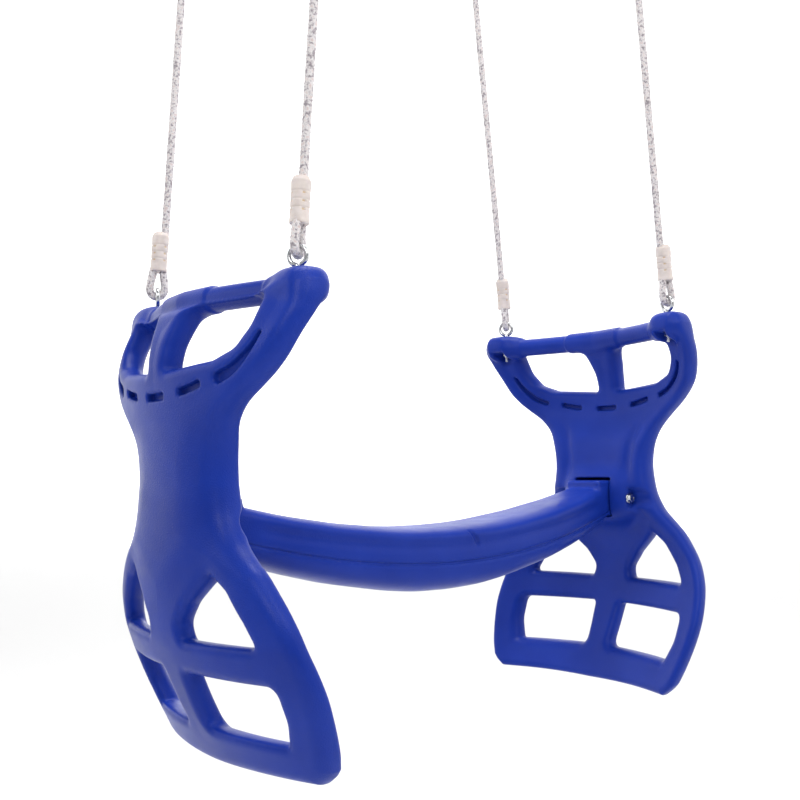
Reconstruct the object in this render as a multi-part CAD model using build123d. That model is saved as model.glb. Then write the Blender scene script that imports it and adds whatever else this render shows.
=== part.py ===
"""Two-rider glider swing: two blow-moulded end panels, a moulded plank seat between
them, and four ropes that run from eye bolts in the panels up to steel hanging rings.

Millimetres. X runs along the seat, Y across it and Z up. The origin is the middle of
the four hanging rings. "near" is the -Y side and "left" the -X side.
"""
from build123d import *
import os
from math import cos, pi, radians, sin, tan

# ---- driving dimensions ----
HANG_DROP = 760.0          # hanging rings' centres above the bases of the eye bolts
EYE_X = 355.8              # eye bolt axes, from the middle of the seat
EYE_Y = 182.0              # eye bolt axes, from the centre line
ROPE_LEAN = 0.0839         # how far each rope leans in towards the middle, per mm of rise

ROPE_R = 5.75
EYE_WIRE_R = 3.0
EYE_MEAN_R = 11.5
EYE_CENTRE_RISE = 14.7     # eye centre above the knob that it stands on
# Turn of each eye, and of the rope loop through it, about the bolt, in degrees.
EYE_TURNS = {"left_near": 34.0, "left_far": -25.0, "right_near": -6.0, "right_far": 34.0}
RING_WIRE_R = 3.2
RING_MEAN_R = 19.0
OPEN_PIVOT_SHIFT = 3.0     # right rings stand out from their loops, midway in the play
FERRULE_R = 12.2
FERRULE_LENGTH = 57.0
FERRULE_CHAMFER = 2.5
LOWER_FERRULE_RISE = 26.0  # its lower face above the eye wire
UPPER_FERRULE_FALL = 32.0  # its upper face below the ring wire
# Rope centre line in the plane of its loops, chosen by hand: out from the rope's middle
# line, then up from the eye wire (lower half, from the cut end) or down from the ring
# wire (upper half, to the cut end). The two halves join in one straight run.
LOWER_ROUTE = [(5.85, 74), (5.85, 30), (11.3, 1.6), (8.1, -8.1), (0, -11.4),
               (-8.1, -8.1), (-11.3, 1.6), (-5.85, 30)]
UPPER_ROUTE = [(-5.85, 34), (-15.7, 5.7), (-11.2, -7.7), (0, -12.4), (11.2, -7.7),
               (15.7, 5.7), (5.85, 34), (5.85, 80)]
ROPE_BEND_SHARE = 0.45     # of the shorter run beside a corner, taken by its arc
ROPE_LARGEST_BEND = 60.0

# end panel, heights measured down from the eye bolt bases
BOW_R = 455.0              # radius of the panel's bow about a vertical axis
BOW_SPREAD = 40.0          # degrees of bow on each side, a little past the panel's edges
BAR_R = 15.5               # hand grip
BAR_DROP = 24.0
BAR_X = 399.0
KNOB_R = 27.0
KNOB_X = 352.0
KNOB_Y = 188.0
KNOB_HEIGHT = 46.0
KNOB_ROUND = 10.0
NUT_SEAT_DROP = 31.0       # face inside the knob that the washer bears on
NUT_RECESS_R = 11.0
NUT_RECESS_LENGTH = 60.0
HOLE_PLAY = 0.3            # of a bolt hole round its bolt
WASHER_PLAY = 0.2
SHANK_SHOWING = 17.0       # eye bolt below the seat of its washer
SHANK_ROOT = 2.0           # eye bolt above the knob, up into the eye
SLOT_HEIGHT = 8.0
SLOT_FACE_X = 421.0        # inner face at the slots, on the centre line
# Slots on one side as (Y, drop, turn in degrees, length); the first is on the centre line.
SLOTS = [(0, 143, 0, 42), (76, 137, 8, 40), (140, 124, 30, 32), (165, 104, 52, 28)]
SLOT_DEPTH = 7.0
POCKET_HALF = 38.5
POCKET_TOP = 264.5
POCKET_BOTTOM = 330.5
POCKET_X = (366.0, 426.0)
PANEL_SPAN = (230.0, 490.0)  # X range that holds a whole panel
CHEEK_HALF = 76.0
CHEEK_X = (372.0, 428.0)   # bosses each side of the pocket
CHEEK_WALL = 11.0          # above and below the pocket
CHEEK_ROUND = 14.0
SCOOP_R = 15.0             # hollow round each end of the seat bolt
SCOOP_LENGTH = 40.0
SCOOP_SHIFT = 4.0
SEAT_BOLT_X = 384.0
SEAT_BOLT_DROP = 299.6
SEAT_BOLT_R = 4.0
SEAT_BOLT_GRIP = 70.0      # half the distance between the two washer faces
TONGUE_GAP = 0.8
TONGUE_ROOT_X = 350.0
TONGUE_ROUND = 6.0
SEAT_HALF = 66.0
SEAT_ROUND = 14.0
SLEEVE_R = 6.0             # steel sleeve in the tongue, round the seat bolt
EYE_NUT_ACROSS = 11.0
EYE_NUT_HEIGHT = 6.5
EYE_WASHER = (8.0, 1.2)    # outer radius, thickness
SEAT_NUT_ACROSS = 13.0
SEAT_NUT_HEIGHT = 8.0
SEAT_HEAD_HEIGHT = 5.5
SEAT_WASHER = (8.5, 1.6)
THREAD_SHOWING = 9.0       # bolt end beyond the washers, through the nut
SHANK_R = 3.2

SIDES = {"left": -1, "right": 1}
ACROSS = {"near": -1, "far": 1}
EYE_WIRE_RISE = EYE_CENTRE_RISE + EYE_MEAN_R


def height(drop):
    """Z of a level that is measured down from the eye bolt bases."""
    return -HANG_DROP - drop


def top_x():
    """Distance of the rope axes from the middle at the rings' bottom wires."""
    return EYE_X - ROPE_LEAN * (HANG_DROP - EYE_WIRE_RISE - RING_MEAN_R)


# ---- end panel ----
# Half outline, from the top bar round the side to the bottom edge, as (Y, drop).
SIDE_CURVE = [
    (212, 26), (217.5, 45), (205, 97), (166, 140), (119, 180), (100, 240),
    (106, 285), (148, 340), (198, 400), (218.5, 480), (210, 540), (195, 584),
]
BOTTOM_CORNER = (174, 601)
BOTTOM_CORNER_MIDDLE = (190, 597)
BOTTOM_ARCH = (90, 600)
BOTTOM_MIDDLE = 601.0
BAND_OUTER = [(418, 8), (441, 60), (454, 110), (452, 160), (446, 220), (446, 280), (449, 340),
              (449, 400), (441, 447), (416, 510), (387, 570), (372, 612)]
BAND_INNER = [(387, 8), (406, 60), (421, 120), (396, 190), (386, 250), (388, 330),
              (408, 366), (418, 400), (412, 440), (387, 510), (357, 570), (342, 612)]
HANDLE_WINDOW = [(23, 112), (25, 78), (50, 41), (162, 40.5), (158, 67), (143, 91), (112, 104)]
UPPER_FOOT_WINDOW = [(96, 361), (57, 394), (39, 422), (43, 438), (159, 437.5), (145, 411), (119, 378)]
LOWER_FOOT_WINDOW = [(28, 481), (24, 552), (157, 554), (171, 522), (172, 482.5)]
WINDOW_ROUND = 5.5


def window_face(corners, radius):
    """A window of the panel on the YZ plane, on the +Y side, with rounded corners."""
    outline = Polyline(*[(y, height(drop)) for y, drop in corners], close=True)
    face = make_face(outline)
    return fillet(face.vertices(), radius)


def panel_outline():
    """Whole outline of the panel on the YZ plane, with its windows cut out."""
    points = [(y, height(drop)) for y, drop in SIDE_CURVE]
    corner = (BOTTOM_CORNER[0], height(BOTTOM_CORNER[1]))
    bottom = (0, height(BOTTOM_MIDDLE))
    top = (0, height(BAR_DROP))
    half = Line(top, (points[0][0], top[1])) + Line((points[0][0], top[1]), points[0])
    half += Spline(*points)
    half += ThreePointArc(points[-1], (BOTTOM_CORNER_MIDDLE[0], height(BOTTOM_CORNER_MIDDLE[1])), corner)
    half += Spline(corner, (BOTTOM_ARCH[0], height(BOTTOM_ARCH[1])), bottom)
    half += Line(bottom, top)
    face = make_face(half)
    for corners in (HANDLE_WINDOW, UPPER_FOOT_WINDOW, LOWER_FOOT_WINDOW):
        face -= window_face(corners, WINDOW_ROUND)
    return face + mirror(face, Plane.YZ)


def band():
    """Bowed shell that the panel is cut from, turned about a vertical axis."""
    outer = [(x, height(drop)) for x, drop in BAND_OUTER]
    inner = [(x, height(drop)) for x, drop in BAND_INNER]
    profile = Spline(*outer) + Line(outer[-1], inner[-1])
    profile += Spline(*reversed(inner)) + Line(inner[0], outer[0])
    face = Plane.XZ * make_face(profile)
    axis_x = BAR_X + 36 - BOW_R
    axis = Axis((axis_x, 0, 0), (0, 0, 1))
    face = face.rotate(axis, -BOW_SPREAD)
    return revolve(face, axis, 2 * BOW_SPREAD)


def hand_grip():
    """Round bar across the top of the panel, bowed like it."""
    end = (KNOB_X + 6, EYE_Y - 8)
    path = ThreePointArc((end[0], -end[1]), (BAR_X, 0), (end[0], end[1]))
    path = Pos(0, 0, height(BAR_DROP)) * path
    section = Plane(origin=path @ 0, z_dir=path % 0) * Circle(BAR_R)
    return sweep(section, path)


def knob(across):
    """Rounded block at the end of the grip, which the eye bolt goes through."""
    block = Cylinder(KNOB_R, KNOB_HEIGHT)
    block = fillet(block.edges().filter_by(GeomType.CIRCLE), KNOB_ROUND)
    return Pos(KNOB_X, across * KNOB_Y, height(KNOB_HEIGHT / 2)) * block


def slot_cutters():
    """Blind slots across the inner face, below the handle windows."""
    cutters = []
    for y, drop, turn, length in SLOTS:
        for across in (-1, 1):
            face_x = SLOT_FACE_X - y * y / (2 * BOW_R)
            cutter = Box(2 * SLOT_DEPTH, length, SLOT_HEIGHT)
            place = Pos(face_x, across * y, height(drop)) * Rot(across * turn, 0, 0)
            cutters.append(place * cutter)
    return cutters


def right_panel():
    """End panel at +X, with the seat pocket, bolt holes and recesses."""
    body = band() & extrude(Plane.YZ.offset(PANEL_SPAN[0]) * panel_outline(), PANEL_SPAN[1] - PANEL_SPAN[0])
    body += hand_grip()
    for across in (-1, 1):
        body += knob(across)
    boss_height = POCKET_BOTTOM - POCKET_TOP + 2 * CHEEK_WALL
    middle = (POCKET_TOP + POCKET_BOTTOM) / 2
    boss = Box(CHEEK_X[1] - CHEEK_X[0], 2 * CHEEK_HALF, boss_height)
    boss = fillet(boss.edges().filter_by(Axis.X), CHEEK_ROUND)
    body += Pos(sum(CHEEK_X) / 2, 0, height(middle)) * boss
    depth = POCKET_X[1] - POCKET_X[0] + 20
    pocket = Box(depth, 2 * POCKET_HALF, POCKET_BOTTOM - POCKET_TOP)
    body -= Pos(POCKET_X[1] - depth / 2, 0, height(middle)) * pocket
    cross_hole = Rot(90, 0, 0) * Cylinder(SEAT_BOLT_R + HOLE_PLAY, 4 * CHEEK_HALF)
    body -= Pos(SEAT_BOLT_X, 0, height(SEAT_BOLT_DROP)) * cross_hole
    for across in (-1, 1):
        scoop_y = across * (SEAT_BOLT_GRIP + SCOOP_LENGTH / 2)
        scoop = Rot(90, 0, 0) * Cylinder(SCOOP_R, SCOOP_LENGTH)
        body -= Pos(SEAT_BOLT_X - SCOOP_SHIFT, scoop_y, height(SEAT_BOLT_DROP)) * scoop
        eye_hole = Cylinder(SHANK_R + HOLE_PLAY, 4 * KNOB_HEIGHT)
        body -= Pos(EYE_X, across * EYE_Y, height(0)) * eye_hole
        recess = Cylinder(NUT_RECESS_R, NUT_RECESS_LENGTH)
        recess_drop = NUT_SEAT_DROP + NUT_RECESS_LENGTH / 2
        body -= Pos(EYE_X, across * EYE_Y, height(recess_drop)) * recess
    for cutter in slot_cutters():
        body -= cutter
    return body


# ---- seat ----
SEAT_TOP = [(-364, 270), (-280, 296), (-200, 311), (-110, 321), (0, 327)]
SEAT_BOTTOM = [(-364, 345), (-280, 373), (-200, 394), (-110, 411), (0, 420)]
SEAT_PLAN = [(-366, 39), (-310, 52), (-230, 63), (-120, 66), (0, 67)]


def mirrored(points):
    """The points of one half followed by their mirror images, middle point once."""
    return points + [(-x, drop) for x, drop in reversed(points[:-1])]


def seat_plank():
    """Sagging plank with a tongue at each end that fills the panel's pocket."""
    top = [(x, height(drop)) for x, drop in mirrored(SEAT_TOP)]
    bottom = [(x, height(drop)) for x, drop in mirrored(SEAT_BOTTOM)]
    outline = Spline(*top) + Line(top[-1], bottom[-1])
    outline += Spline(*reversed(bottom)) + Line(bottom[0], top[0])
    body = extrude(Plane.XZ * make_face(outline), 2 * SEAT_HALF, both=True)
    plan = mirrored(SEAT_PLAN)
    near = Spline(*[(x, -y) for x, y in plan])
    far = Spline(*plan)
    sides = near + far + Line(near @ 0, far @ 0) + Line(near @ 1, far @ 1)
    body &= Pos(0, 0, height(SEAT_BOTTOM[-1][1])) * extrude(make_face(sides), SEAT_BOTTOM[-1][1])
    long_edges = [e for e in body.edges() if e.length > SEAT_BOLT_X]
    body = fillet(long_edges, SEAT_ROUND)
    tongue_top = POCKET_TOP + TONGUE_GAP
    tongue_bottom = POCKET_BOTTOM - TONGUE_GAP
    length = POCKET_X[1] - TONGUE_GAP - TONGUE_ROOT_X
    for side in SIDES.values():
        tongue = Box(length, 2 * (POCKET_HALF - TONGUE_GAP), tongue_bottom - tongue_top)
        tongue = fillet(tongue.edges().filter_by(Axis.X), TONGUE_ROUND)
        centre_z = height((tongue_top + tongue_bottom) / 2)
        body += Pos(side * (TONGUE_ROOT_X + length / 2), 0, centre_z) * tongue
    for side in SIDES.values():
        hole = Rot(90, 0, 0) * Cylinder(SLEEVE_R, 4 * SEAT_HALF)
        body -= Pos(side * SEAT_BOLT_X, 0, height(SEAT_BOLT_DROP)) * hole
    return body


def seat_sleeve(side):
    """Steel tube through the tongue that the seat bolt clamps on."""
    length = 2 * (POCKET_HALF - TONGUE_GAP)
    tube = Cylinder(SLEEVE_R, length) - Cylinder(SEAT_BOLT_R + 0.1, length)
    return Pos(side * SEAT_BOLT_X, 0, height(SEAT_BOLT_DROP)) * Rot(90, 0, 0) * tube


def hexagon(across_flats, thickness):
    """Hexagonal prism with its thickness along Z, centred."""
    return extrude(RegularPolygon(across_flats / 2, 6, major_radius=False), thickness / 2, both=True)


def washer(bore_r, outer_r, thickness):
    """Flat washer with its axis along Z, centred."""
    return Cylinder(outer_r, thickness) - Cylinder(bore_r, 2 * thickness)


def seat_bolt(side):
    """Hexagon bolt along Y, head on the near side."""
    reach = SEAT_BOLT_GRIP + SEAT_WASHER[1]
    shank = Cylinder(SEAT_BOLT_R, 2 * reach + THREAD_SHOWING)
    head = Pos(0, 0, reach + SEAT_HEAD_HEIGHT / 2) * hexagon(SEAT_NUT_ACROSS, SEAT_HEAD_HEIGHT)
    bolt = Pos(0, 0, -THREAD_SHOWING / 2) * shank + head
    return Pos(side * SEAT_BOLT_X, 0, height(SEAT_BOLT_DROP)) * Rot(90, 0, 0) * bolt


def seat_washers(side):
    """The two washers of one seat bolt."""
    pair = []
    for across in (-1, 1):
        disc = Rot(90, 0, 0) * washer(SEAT_BOLT_R + WASHER_PLAY, *SEAT_WASHER)
        y = across * (SEAT_BOLT_GRIP + SEAT_WASHER[1] / 2)
        pair.append(Pos(side * SEAT_BOLT_X, y, height(SEAT_BOLT_DROP)) * disc)
    return pair


def seat_nut(side):
    """Lock nut of one seat bolt, on the far side."""
    nut = hexagon(SEAT_NUT_ACROSS, SEAT_NUT_HEIGHT) - Cylinder(SEAT_BOLT_R, 2 * SEAT_NUT_HEIGHT)
    y = SEAT_BOLT_GRIP + SEAT_WASHER[1] + SEAT_NUT_HEIGHT / 2
    return Pos(side * SEAT_BOLT_X, y, height(SEAT_BOLT_DROP)) * Rot(90, 0, 0) * nut


# ---- eye bolts ----
def eye_bolt(side, across, turn):
    """Bolt with a bent eye on top; the shank goes down through the knob."""
    ring = Rot(0, 90, 0) * Torus(EYE_MEAN_R, EYE_WIRE_R)
    ring = Pos(0, 0, EYE_CENTRE_RISE) * Rot(0, 0, turn) * ring
    length = SHANK_ROOT + NUT_SEAT_DROP + SHANK_SHOWING
    shank = Pos(0, 0, SHANK_ROOT - length / 2) * Cylinder(SHANK_R, length)
    return Pos(side * EYE_X, across * EYE_Y, height(0)) * (ring + shank)


def eye_washer(side, across):
    """Washer inside the knob, above the lock nut."""
    drop = NUT_SEAT_DROP + EYE_WASHER[1] / 2
    return Pos(side * EYE_X, across * EYE_Y, height(drop)) * washer(SHANK_R + WASHER_PLAY, *EYE_WASHER)


def eye_nut(side, across):
    """Lock nut below the washer."""
    nut = hexagon(EYE_NUT_ACROSS, EYE_NUT_HEIGHT) - Cylinder(SHANK_R, 2 * EYE_NUT_HEIGHT)
    drop = NUT_SEAT_DROP + EYE_WASHER[1] + EYE_NUT_HEIGHT / 2
    return Pos(side * EYE_X, across * EYE_Y, height(drop)) * nut


# ---- ropes ----
def rope_plane(side, across, turn):
    """Plane of one rope: local X points outwards, turned about the bolt, and local Y up the rope."""
    foot = Vector(side * EYE_X, across * EYE_Y, height(0) + EYE_WIRE_RISE)
    up = Vector(-side * ROPE_LEAN, 0, 1).normalized()
    level = Vector(side * cos(radians(turn)), side * sin(radians(turn)), 0)
    out = (level - up * level.dot(up)).normalized()
    return Plane(origin=foot, x_dir=out, z_dir=out.cross(up))


def rope_span():
    """Length of the rope axis between the eye wire and the ring wire."""
    rise = HANG_DROP - EYE_WIRE_RISE - RING_MEAN_R
    return rise * (1 + ROPE_LEAN**2) ** 0.5


def rope_route(side, across, turn):
    """Rope centre line from the cut lower end to the cut upper end."""
    lower = rope_plane(side, across, turn)
    upper = rope_plane(side, across, 0)
    route = [lower.from_local_coords((out, rise, 0)) for out, rise in LOWER_ROUTE]
    route += [upper.from_local_coords((out, rope_span() - fall, 0)) for out, fall in UPPER_ROUTE]
    return route


def rope_tube(side, across, turn):
    """One rope as a plain tube along its centre line, with tangent arcs at the bends."""
    route = rope_route(side, across, turn)
    radii = []
    for before, here, after in zip(route, route[1:], route[2:]):
        run_in = here - before
        run_out = after - here
        half_turn = radians(run_in.get_angle(run_out)) / 2
        shorter = min(run_in.length, run_out.length)
        radii.append(min(ROPE_BEND_SHARE * shorter / tan(half_turn), ROPE_LARGEST_BEND))
    path = FilletPolyline(*route, radius=radii)
    section = Plane(origin=path @ 0, z_dir=path % 0) * Circle(ROPE_R)
    tube = sweep(section, path)
    print("rope length", round(path.length, 1), "volume over length times section",
          round(tube.volume / (pi * ROPE_R**2 * path.length), 4))
    return tube


def ferrule(plane, low):
    """Moulded sleeve that holds the rope's turned-back end; closed solid of its outer shape."""
    body = Cylinder(FERRULE_R, FERRULE_LENGTH)
    body = chamfer(body.edges().filter_by(GeomType.CIRCLE), FERRULE_CHAMFER)
    middle = plane.from_local_coords((0, low + FERRULE_LENGTH / 2, 0))
    return Plane(origin=middle, x_dir=plane.x_dir, z_dir=plane.y_dir) * body


def hang_ring(side, across):
    """Steel ring at the top of a rope, with its wire along Y where the rope loops over it."""
    ring_x = top_x() + OPEN_PIVOT_SHIFT if side > 0 else -top_x()
    return Pos(ring_x, across * EYE_Y, 0) * Rot(0, 90, 0) * Torus(RING_MEAN_R, RING_WIRE_R)


def write(node, *shapes):
    """Write one node's solids to its STEP file."""
    solids = [solid for shape in shapes for solid in shape.solids()]
    shape = solids[0] if len(solids) == 1 else Compound(solids)
    shape.label = node
    export_step(shape, f"parts/{node}.step")


def main():
    os.makedirs("parts", exist_ok=True)
    panel = right_panel()
    write("end_panel_right", panel)
    write("end_panel_left", mirror(panel, Plane.YZ))
    write("seat_plank", seat_plank())
    for side_name, side in SIDES.items():
        write(f"seat_sleeve_{side_name}", seat_sleeve(side))
        write(f"seat_bolt_{side_name}", seat_bolt(side))
        write(f"seat_washers_{side_name}", *seat_washers(side))
        write(f"seat_lock_nut_{side_name}", seat_nut(side))
        for across_name, across in ACROSS.items():
            corner = f"{side_name}_{across_name}"
            turn = EYE_TURNS[corner]
            write(f"eye_bolt_{corner}", eye_bolt(side, across, turn))
            write(f"eye_washer_{corner}", eye_washer(side, across))
            write(f"eye_lock_nut_{corner}", eye_nut(side, across))
            write(f"rope_{corner}", rope_tube(side, across, turn))
            lower = rope_plane(side, across, turn)
            write(f"lower_ferrule_{corner}", ferrule(lower, LOWER_FERRULE_RISE))
            upper = rope_plane(side, across, 0)
            upper_low = rope_span() - UPPER_FERRULE_FALL - FERRULE_LENGTH
            write(f"upper_ferrule_{corner}", ferrule(upper, upper_low))
            write(f"hang_ring_{corner}", hang_ring(side, across))


main()
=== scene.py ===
"""Looks of the glider swing: moulded panels and seat, braided ropes, sleeves and zinc hardware.

Shapes are worked out in millimetres, with "drop" measured down from the tops of the knobs
that the eye bolts stand on, and turned into metres in the CAD frame when a mesh is made.
"""
import bpy
import math
import numpy as np
from mathutils import Matrix, Vector


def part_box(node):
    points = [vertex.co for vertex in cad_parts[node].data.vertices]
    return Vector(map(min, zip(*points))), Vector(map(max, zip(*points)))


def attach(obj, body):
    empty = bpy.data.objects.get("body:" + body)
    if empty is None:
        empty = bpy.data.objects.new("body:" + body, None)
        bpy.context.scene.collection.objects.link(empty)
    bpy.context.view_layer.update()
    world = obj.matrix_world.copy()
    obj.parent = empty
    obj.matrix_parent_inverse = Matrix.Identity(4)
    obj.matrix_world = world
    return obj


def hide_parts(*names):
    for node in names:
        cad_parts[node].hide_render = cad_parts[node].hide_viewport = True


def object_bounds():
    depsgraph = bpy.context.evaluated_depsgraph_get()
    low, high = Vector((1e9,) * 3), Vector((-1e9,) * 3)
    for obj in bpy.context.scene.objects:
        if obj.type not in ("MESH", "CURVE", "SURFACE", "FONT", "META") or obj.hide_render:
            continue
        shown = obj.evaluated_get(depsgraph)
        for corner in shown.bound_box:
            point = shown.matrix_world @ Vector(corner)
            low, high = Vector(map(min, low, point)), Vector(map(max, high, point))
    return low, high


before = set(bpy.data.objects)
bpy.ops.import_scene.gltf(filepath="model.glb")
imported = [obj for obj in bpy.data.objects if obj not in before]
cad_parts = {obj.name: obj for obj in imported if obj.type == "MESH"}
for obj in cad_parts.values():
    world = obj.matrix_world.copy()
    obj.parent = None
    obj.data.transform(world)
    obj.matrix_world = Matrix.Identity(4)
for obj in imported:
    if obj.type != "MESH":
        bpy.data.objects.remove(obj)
CAD_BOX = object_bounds()

MM = 0.001
KNOB_TOP_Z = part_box("end_panel_right")[1][2] / MM
SIDES = {"left": -1, "right": 1}
ACROSS = {"near": -1, "far": 1}

# ---------------------------------------------------------------- driving sizes, mm
EYE_X, EYE_Y = 355.8, 182.0
BOW_R = 475.0

# Grids that the mouldings are worked out on: spans of (x, y, drop) and the step.
PANEL_SPANS, PANEL_STEP = ((292, 462), (0, 226), (-8, 618)), 2.0
SEAT_SPANS, SEAT_STEP = ((-430, 431), (-74, 75), (258, 430)), 2.2
RELAX_ROUNDS = 2

# Panel middle surface at the centre line, and half thicknesses: (drop, mm).
PANEL_MIDDLE = [(-10, 402), (20, 404), (40, 412), (60, 423), (80, 431), (105, 436), (150, 434),
                (175, 428), (200, 421), (240, 417.5), (280, 418), (320, 422.5), (350, 428),
                (380, 431.5), (405, 433), (440, 429), (480, 415), (520, 397.5), (560, 377), (608, 353)]
PANEL_CENTRE_HALF = [(0, 15), (150, 16), (175, 20), (200, 26), (240, 29), (320, 29), (350, 24),
                     (380, 18), (405, 15), (450, 15), (608, 15.5)]
PANEL_EDGE_HALF = [(20, 21), (60, 19.5), (100, 17.5), (150, 17.5), (180, 20), (240, 24), (290, 23),
                   (330, 20), (360, 16.5), (400, 15), (450, 14.5), (500, 15.5), (560, 16.5), (608, 16)]
PANEL_EDGE_ROUND = [(20, 15), (150, 16), (190, 23), (300, 25), (350, 18), (400, 14), (608, 15)]
WAIST_CURL = [(160, 0), (210, 3.5), (290, 3.5), (340, 0)]

# Half outline as (y, drop): along the top, down the side, round the corner, along the bottom.
PANEL_TOP = [(0, 31), (120, 31), (150, 28), (175, 18), (204, 13)]
PANEL_SIDE = [(213, 20), (218, 40), (216, 62), (202.5, 100), (187.5, 121), (166, 140), (139, 160),
              (119, 180), (108, 200), (101, 225), (99.5, 250), (104, 280), (112, 300), (125, 320),
              (147, 340), (169, 360), (198, 400), (213, 440), (218.5, 482), (214.5, 520),
              (204, 560), (194.5, 584)]
PANEL_CORNER = (186, 593)
PANEL_BOTTOM = [(174, 602), (90, 601.5), (0, 602.5)]

# Windows as (y, drop, corner radius).
HANDLE_WINDOW = [(22, 112, 7), (24, 82, 30), (36, 30, 34), (100, 31, 60), (166, 30.5, 9),
                 (163, 68, 30), (147, 92, 26), (113, 105, 30)]
UPPER_FOOT_WINDOW = [(98, 358, 7), (57, 394, 30), (37, 421, 24), (42, 438, 7), (164, 437.5, 6),
                     (150, 410, 40), (124, 376, 30)]
LOWER_FOOT_WINDOW = [(28, 481, 7), (24, 551.5, 14), (100, 553, 200), (158, 554, 6), (171, 523, 50),
                     (173, 482.5, 13)]

EDGE_FADE = 60.0           # depth at which the panel has its centre thickness
EDGE_POWER = 2.5           # squareness of its edge
# Shallow groove inside the rim, on the inner face from the waist down.
VALLEY_DEPTH, VALLEY_WIDTH, VALLEY_SINK = 34.0, 9.0, 4.5
VALLEY_START, VALLEY_END = (150, 200), (330, 380)

BAR_DROP = 23.8
BAR_SQUASH = 0.94
BAR_END = 196.0
BAR_LINE = [(0, 401), (60, 394), (110, 380), (150, 366), (185, 354), (230, 338)]
BAR_RADII = [(0, 17.9), (57, 17.9), (58, 15.4), (146, 15.4), (149, 18.0), (230, 18.0)]
KNOB_CENTRE = (354.0, 186.0, 20.5)
KNOB_SEMI = (27.0, 28.0, 21.0)
KNOB_POWER = 2.8
NUT_SEAT_DROP = 31.0
# Recess for the nut: half width, outer wall's x, and how far that wall leans in below a drop.
RECESS_HALF, RECESS_WALL_X, RECESS_LEAN, RECESS_LEAN_DROP = 11.5, 362.5, 1.3, 50.0
RECESS_WALL_SCALE = 0.7    # keeps the leaning wall's field near a true distance

# Slots as (y, drop, half width on the inner face, half width on the outer face).
SLOT_DEPTH = 10.0
SLOT_LINES = [[(-18, 142.5, 3.9, 4.8), (0, 143, 3.9, 4.8), (18, 142.5, 3.9, 4.8)],
              [(58, 139.5, 3.9, 4.8), (76, 136.5, 3.9, 4.8), (93, 132.5, 3.9, 4.8)],
              [(127, 127, 3.9, 7.2), (145, 120, 3.9, 6.6), (160, 109, 3.9, 5.4),
               (173, 95, 3.7, 3.6), (181.5, 79, 3.4, 2.4)]]

POCKET_HALF = 38.5
POCKET_TOP, POCKET_BOTTOM = 264.5, 330.5
POCKET_X, POCKET_HALF_X, POCKET_ROUND = 391.0, 35.0, 3.0
CHEEK_CENTRE = (404.0, 0.0, 297.0)
CHEEK_SEMI = (37.0, 76.0, 46.0)
CHEEK_POWER = 3
SCOOP_X, SCOOP_R = 377.0, 17.0
SEAT_HEAD_CORNER = 7.5     # bolt head's half width across corners
SEAT_BOLT_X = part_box("seat_bolt_right")[1][0] / MM - SEAT_HEAD_CORNER
SEAT_BOLT_DROP = 299.6
SEAT_BOLT_GRIP = 70.0
SEAT_WASHER_THICK = 1.6

# Widths of the blends where one shape meets or cuts another.
BAR_BLEND, KNOB_BLEND, TOP_BLEND, CHEEK_BLEND = 9, 15, 2.5, 18
POCKET_SOFT, SCOOP_SOFT, RECESS_SOFT, SLOT_SOFT = 2.0, 4.0, 5.0, 2.2

SEAT_TOP = [(0, 326), (60, 325), (110, 321.5), (200, 311), (280, 297), (340, 283), (380, 270)]
SEAT_BOTTOM = [(0, 420.5), (60, 418.5), (110, 412), (200, 395), (280, 374), (340, 352), (380, 334)]
SEAT_HALF_WIDTH = [(0, 67), (120, 66), (230, 60), (310, 49), (364, 39), (380, 38)]
SEAT_END = 366.0
SEAT_END_BLEND = 5
UPPER_POWER, LOWER_POWER = 4.5, 3.0     # squareness of its section above and below the middle
TONGUE_TOP = 269.0
TONGUE_X, TONGUE_HALF_X, TONGUE_ROUND = 385.0, 39.0, 6.0
TONGUE_SIDE_PLAY, TONGUE_LOW_PLAY = 1.4, 1.0
# Bands along the seat's side as (distance below its top, width, amount sunk in).
SIDE_BANDS = [(27, 7, 1.7), (11, 8, -1.3)]
PARTING_GROOVE = (1.5, 2.3)             # depth, width
NOTCH_LINE = [[22.0, 334.0], [35.0, 352.0]]
NOTCH_R, NOTCH_SIDE_Y, NOTCH_SOFT = 2.6, 61.0, 3
PARTING_DROP = 377.0       # of the mould line along the seat's side, at the middle
PARTING_RISE = 0.40        # metres of rise per square metre along the seat

EYE_TURNS = {"left_near": 34.0, "left_far": -25.0, "right_near": -6.0, "right_far": 34.0}
EYE_RISE, EYE_MEAN_R, EYE_WIRE_R = 14.7, 11.5, 2.95
SHANK_R = 3.05
SHANK_END_DROP = 47.0
SHANK_STEPS, WIRE_AROUND = 150, 24
EYE_START, EYE_STOP, EYE_SLIP = -78, 262, 1.1   # degrees of bent wire, and its sideways run
EYE_WASHER = [(0, 3.4), (0, 7.7), (-0.3, 8.0), (-0.9, 8.0), (-1.2, 7.7), (-1.2, 3.4)]
SEAT_WASHER = [(0, 4.25), (0, 8.5), (1.2, 8.5), (1.6, 8.1), (1.6, 4.25)]
HEAD_FLAT = 6.4
SEAT_SHANK_STEPS, SEAT_PLAIN_STEPS = 220, 140
ROPE_LEAN = 0.0839
HANG_DROP = 760.0
RING_MEAN_R, RING_WIRE_R = 19.0, 3.2
ROPE_R = 5.75
RING_STEPS, RING_WIRE_STEPS = 120, 24
ROPE_STEP = 0.0011         # metres between the rope's rings
ROPE_AROUND = 42
ROPE_SQUEEZE = 0.16        # share of its radius lost inside a sleeve
FERRULE_LENGTH = 57.0
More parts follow.
